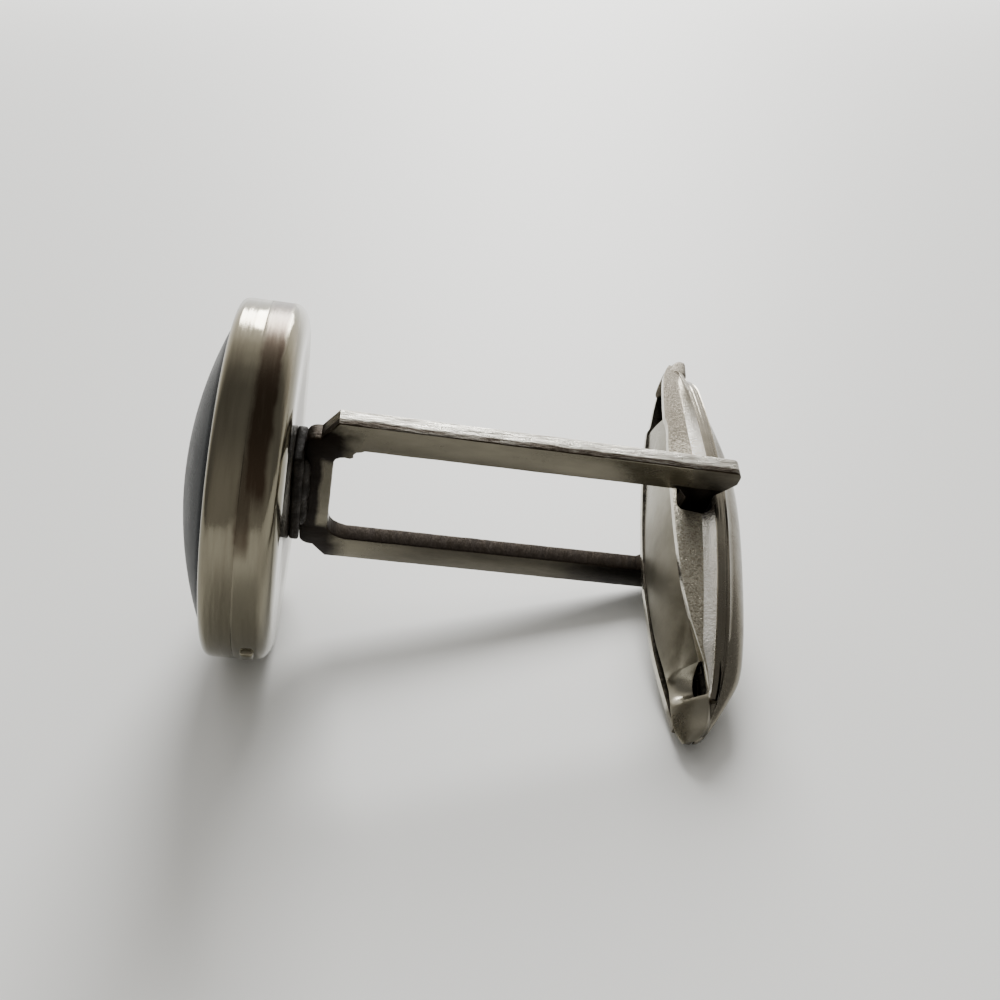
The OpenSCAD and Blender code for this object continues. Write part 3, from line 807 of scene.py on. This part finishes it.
window = lug_window()
for side, name, near_end in ((1, "upper_leaf", -8.75), (-1, "lower_leaf", -9.35)):
    leaf_places = stations(near_end, leaf_far_end, 100)
    leaf = outward(lofted(wall_profile, leaf_places, side), Vector((0, 0, 0)))
    sort_leaf_faces(leaf)
    leaf_piece = finished(leaf, name, swung, "toggle", "toggle_walls", "toggle_wall_metal",
                          wall_grain, hollow_polish_and_highlight, painted_shade_inside, painted_shade_inside, painted_rim_highlight,
                          painted_rim_highlight, dome_polish)
    cut_and_set(walled(leaf_piece, leaf_sheet, eased_r, inner_slots=2, rim_slots=4), window)
bpy.data.objects.remove(window)

# Pinched tip: the far end of the walls, squeezed together into a blunt nose.
# It is a small closed form of the same grainy metal, set between the leaves.
def boxy(value):
    """Makes a circle nearly square when it is used on its sine and cosine."""
    return sqrt(abs(value)) * (1 if value > 0 else -1)

def pinched_profile(y):
    past = y - 8.5
    top = 0.26 + 0.02 * past
    rim = -0.98 + 0.34 * past + 0.11 * past ** 2
    swell = (0.88 + 0.16 * part_way(y, 8.4, 8.9)) * rounded(y, 9.8, 10.45)
    swell *= rounded(8.6 - y, 0, 0.2)
    middle = (top + rim) / 2
    tall = (top - rim) / 2 * swell
    wide = wall_edge(y) * swell
    turns = [2 * pi * i / 36 for i in range(37)]
    return [(middle + tall * boxy(cos(a)), wide * boxy(sin(a))) for a in turns]

pinch = lofted(pinched_profile, stations(8.41, 10.44, 50))
bmesh.ops.remove_doubles(pinch, verts=pinch.verts, dist=0.001)
bmesh.ops.holes_fill(pinch, edges=[e for e in pinch.edges if e.is_boundary], sides=0)
bmesh.ops.recalc_face_normals(pinch, faces=pinch.faces)
finished(pinch, "pinched_tip", swung, "toggle", None, "toggle_wall_metal", wall_grain)

# Cuff plate: a thin polished sheet between the walls, bent down into a tongue at
# the near tip. It leaves a slot along one edge and a round vent by the tongue.
plate_near_end = 0.1 - half_length
plate_far_end = 5.7
plate_sheet = 0.25
plate_play = 0.31
plate_dish = 0.32
tongue_half = 2.25
tongue_tip_half = 0.62
vent_place = -7.85
vent_half = 0.58
vent_cut = 0.95

plate_lines = [
    drawn_line([(-10.2, 1.5), (-8, 0.75), (-6.9, 0.42), (-6.2, 0.17), (-5.5, -0.06),
                (-4, -0.40), (-2.3, -0.62), (-0.8, -0.76), (2.7, -0.93), (6.4, -0.98)]),
    drawn_line([(-10.2, 0.3), (-9.3, 0.02), (-7.9, -0.27), (-6.5, -0.45), (-5.1, -0.66),
                (-2.7, -0.88), (0, -1.0), (6.4, -1.02)])]
tongue_lines = [
    drawn_line([(-10.2, 0.46), (-9.8, 0.66), (-9.4, 0.76), (-9, 0.77), (-8.5, 0.70),
                (-7.94, 0.52), (-7.19, 0.36), (-6.4, 0.13), (-5.5, -0.06), (-4, 0.2)]),
    drawn_line([(-10.2, 0.16), (-9.9, 0.02), (-9.3, -0.18), (-7.9, -0.28), (-6.5, -0.24),
                (-4, 0.1)])]
slit = drawn_line([(-10.1, 0.04), (-9.4, 0.10), (-8.2, 0.30), (-7.2, 0.32), (-6, 0.22),
                   (-3, 0.08), (-0.5, 0.02), (6.4, 0.02)])

def plate_profile(y):
    """Dished plate from its upper edge to its lower one, lowest at the tongue."""
    cap = rounded(-y, 9.6, half_length)
    lower = wall_edge(y) - plate_play - slit(y)
    upper = wall_edge(y) - plate_play + 0.13 * part_way(y, -5.0, -5.6)
    upper += (bow(y, tongue_half, tongue_tip_half) - 0.12 - upper) * part_way(y, -8.2, -8.6)
    upper -= vent_cut * sqrt(max(0, 1 - ((y - vent_place) / vent_half) ** 2))
    points = []
    for t in (i / 20 for i in range(21)):
        flat, bent = ((1 - t) * edges[0](y) + t * edges[1](y)
                      for edges in (plate_lines, tongue_lines))
        depth = min(flat, bent) if y < -4 else flat
        points.append((depth - plate_dish * t * (1 - t), (upper - (upper + lower) * t) * cap))
    return points

plate_satin = metal(
    "plate_satin", swung, plating=(0.34, 0.32, 0.26), tarnish=(0.12, 0.107, 0.075),
    amount=0.3, patches=0.4, gloss=(0.24, 0.4), grain=(10.0, 0.004), wave=0.03)
# Painted dark reflection of the post, across the plate from its middle towards the tongue.
stained_and_shaded(plate_satin, 0.75, 1.5, ("Y", 1.5, -1.5), ("Y", -7.4, -6.2))
plate = lofted(plate_profile, stations(plate_near_end, plate_far_end, 150))
for vert in plate.verts:
    vert.co.y -= 0.45 * vert.co.z * part_way(vert.co.y, 0, plate_far_end) ** 4
walled(finished(outward(plate, Vector((5, 0, 0))), "bent_plate", swung, "toggle",
                "cuff_plate", "toggle_metal", plate_satin, painted_shade_inside, painted_rim_highlight),
       plate_sheet, eased_r, inner_slots=1, rim_slots=2)

# Spring: a bowed strip of spring steel inside the toggle, which bears on the
# lugs and holds the toggle square or in line.
redressed("leaf_spring", metal(
    "spring_steel", swung, plating=(0.35, 0.35, 0.36), tarnish=(0.2, 0.18, 0.16), amount=0.5,
    patches=0.8, gloss=(0.25, 0.4), grain=(8.0, 0.01), wave=0.01, stretch=(1, 0.2, 1)))
